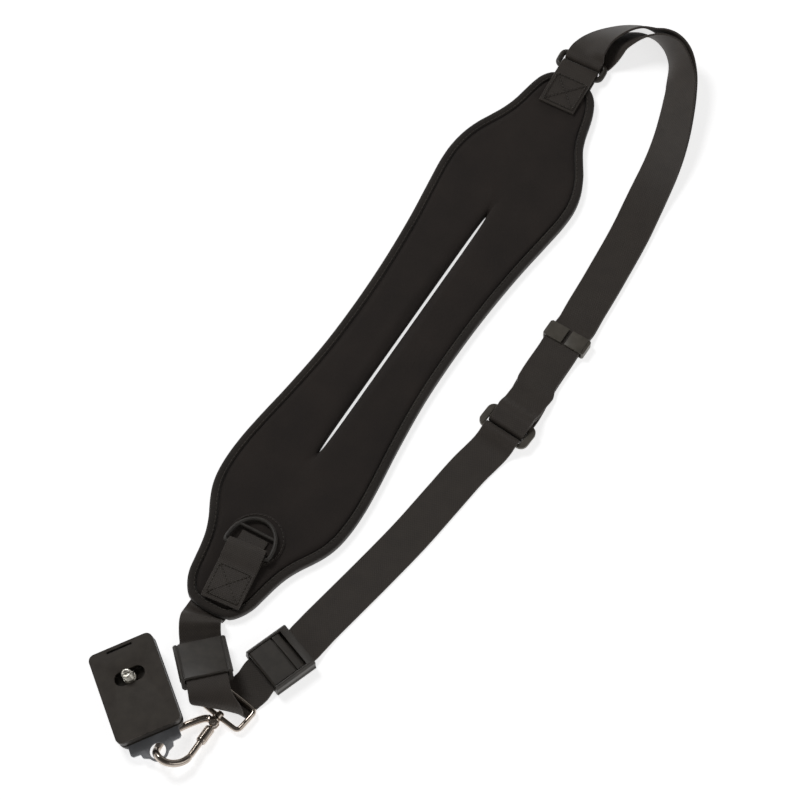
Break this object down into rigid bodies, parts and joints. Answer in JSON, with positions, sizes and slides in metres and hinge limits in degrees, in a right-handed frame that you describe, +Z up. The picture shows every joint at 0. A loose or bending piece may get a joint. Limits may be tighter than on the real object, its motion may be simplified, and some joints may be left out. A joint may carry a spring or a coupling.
{
  "type": "camera neck strap",
  "caption": "Sling-type camera strap with a padded shoulder piece, adjustable webbing, strap stoppers and a snap hook holding a tripod-screw plate.",
  "frame": {"origin": "middle of the footprint, on the surface that the strap lies on", "axes": "+Z up from the surface, +Y along the strap's long direction, towards the rectangular loop at the pad's upper end, +X to the right"},
  "size_m": [0.3752, 0.5169, 0.0259],
  "materials": {
    "pad": "matte",
    "binding": "matte",
    "webbing": "woven",
    "plastic": "moulded",
    "black_metal": "satin",
    "rubber": "matte",
    "nickel": "bright",
    "grey_steel": "satin"
  },
  "bodies": {
    "strap": {"pad": "pad", "pad_binding": "binding", "dring_patch": "pad", "lower_tab": "webbing", "top_tab": "webbing", "top_loop": "plastic", "webbing": "webbing", "keeper": "plastic", "slider": "plastic", "stopper_a_body": "plastic", "stopper_b_body": "plastic", "ring": "nickel"},
    "d_ring": {"d_ring": "plastic"},
    "lever_a": {"stopper_a_lever": "plastic"},
    "lever_b": {"stopper_b_lever": "plastic"},
    "hook_and_plate": {"hook": "nickel", "lug": "grey_steel", "plate_body": "black_metal", "plate_rubber": "rubber"},
    "gate": {"gate": "nickel"},
    "sleeve": {"gate_sleeve": "nickel"},
    "carriage": {"screw_carriage": "nickel"},
    "screw": {"tripod_screw": "nickel"}
  },
  "joints": [
    {"name": "d_ring_flip", "type": "hinge", "parent": "strap", "child": "d_ring", "pos_m": [-0.09667, -0.12099, 0.0099], "axis": [0.8746, -0.4848, 0], "range_deg": [0, 150]},
    {"name": "lever_a_open", "type": "hinge", "parent": "strap", "child": "lever_a", "pos_m": [-0.06947, -0.18553, 0.0082], "axis": [-0.6157, 0.788, 0], "range_deg": [0, 95]},
    {"name": "lever_b_open", "type": "hinge", "parent": "strap", "child": "lever_b", "pos_m": [-0.1184, -0.20095, 0.00987], "axis": [-0.9744, -0.225, 0], "range_deg": [0, 75]},
    {"name": "hook_swivel", "type": "hinge", "parent": "strap", "child": "hook_and_plate", "pos_m": [-0.11067, -0.22465, 0.00345], "axis": [-0.6374, -0.7705, 0], "continuous": true},
    {"name": "gate_open", "type": "hinge", "parent": "hook_and_plate", "child": "gate", "pos_m": [-0.11358, -0.2299, 0.004], "axis": [0, 0, -1], "range_deg": [0, 25]},
    {"name": "sleeve_lock", "type": "slide", "parent": "gate", "child": "sleeve", "axis": [-0.5245, -0.8448, 0.1059], "range_m": [0, 0.0075]},
    {"name": "carriage_slide", "type": "slide", "parent": "hook_and_plate", "child": "carriage", "axis": [0.9192, 0.3345, 0.2079], "range_m": [-0.0038, 0.005]},
    {"name": "screw_turn", "type": "hinge", "parent": "carriage", "child": "screw", "pos_m": [-0.16232, -0.20444, 0.012], "axis": [-0.1954, -0.0711, 0.9781], "continuous": true}
  ]
}
